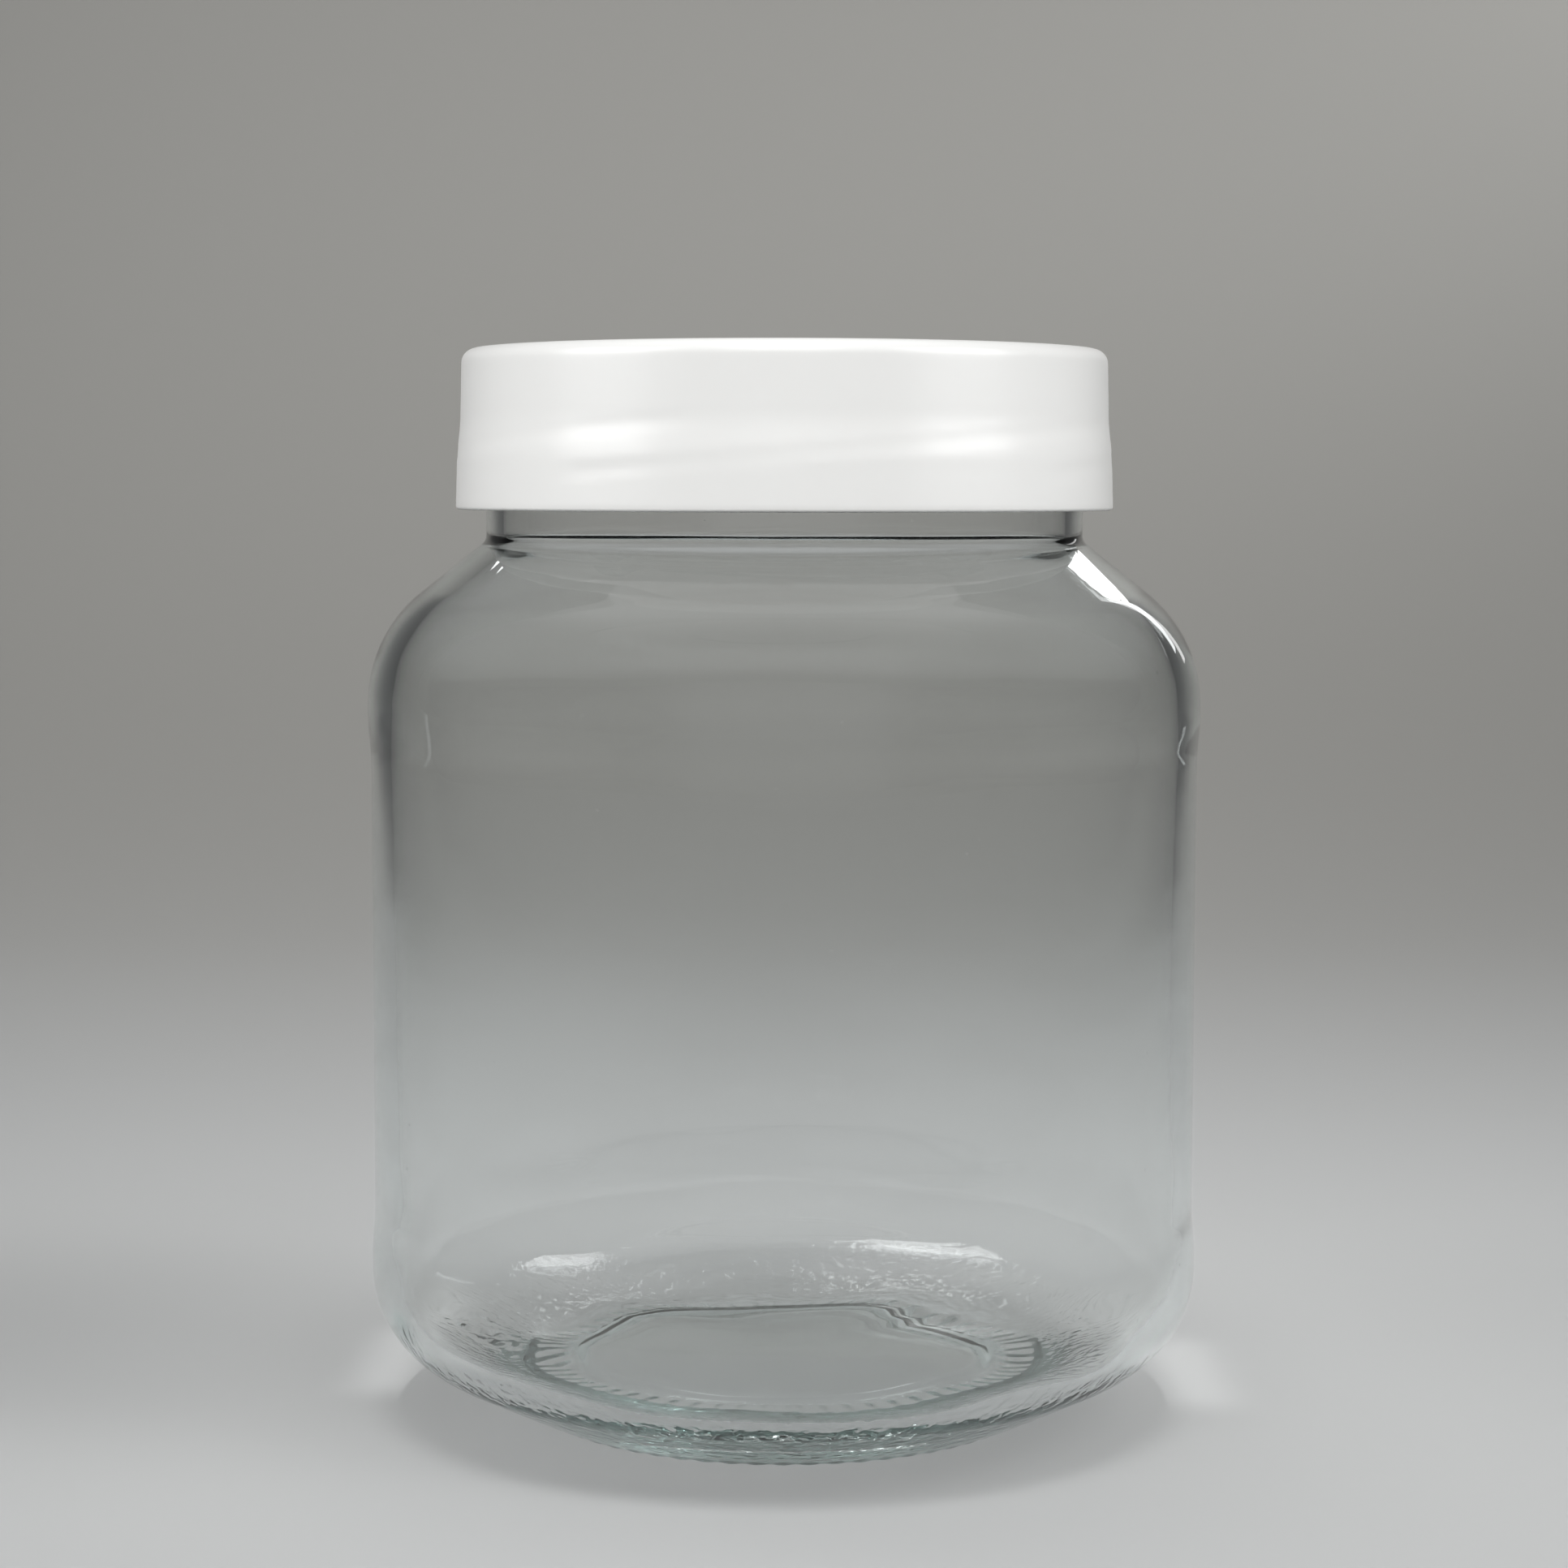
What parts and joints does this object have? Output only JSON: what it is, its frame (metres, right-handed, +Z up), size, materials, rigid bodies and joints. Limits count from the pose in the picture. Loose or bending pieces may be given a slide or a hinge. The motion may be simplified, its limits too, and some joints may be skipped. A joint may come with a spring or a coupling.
{
  "type": "glass jar",
  "caption": "Wide-mouth clear glass jar with rounded shoulders, a recessed panel, a curved heel on a bearing ring, and a white plastic screw lid with a foam liner.",
  "frame": {"origin": "on the table under the middle of the jar's base, on the axis of the jar and lid", "axes": "+Z up along the axis of the jar, out of its mouth; +X and +Y are alike on this turned object, and the picture looks along +Y"},
  "size_m": [0.1062, 0.1062, 0.1356],
  "materials": {
    "clear_glass": "clear, fire-polished, faint blue-green in thick parts",
    "liner_foam": "matte closed-cell foam",
    "white_plastic": "semi-gloss moulded white"
  },
  "bodies": {
    "jar": {"glass_jar": "clear_glass"},
    "liner": {"lid_liner": "liner_foam"},
    "lid": {"screw_lid": "white_plastic"}
  },
  "joints": [
    {"name": "lid_lift", "type": "slide", "parent": "jar", "child": "liner", "axis": [0, 0, 1], "range_m": [0, 0.0401]},
    {"name": "lid_turn", "type": "hinge", "parent": "liner", "child": "lid", "pos_m": [0, 0, 0.1154], "axis": [0, 0, 1], "range_deg": [0, 720]}
  ],
  "couplings": [
    {"joint": "lid_lift", "follows": "lid_turn", "m_per_rad": 0.0031831}
  ]
}
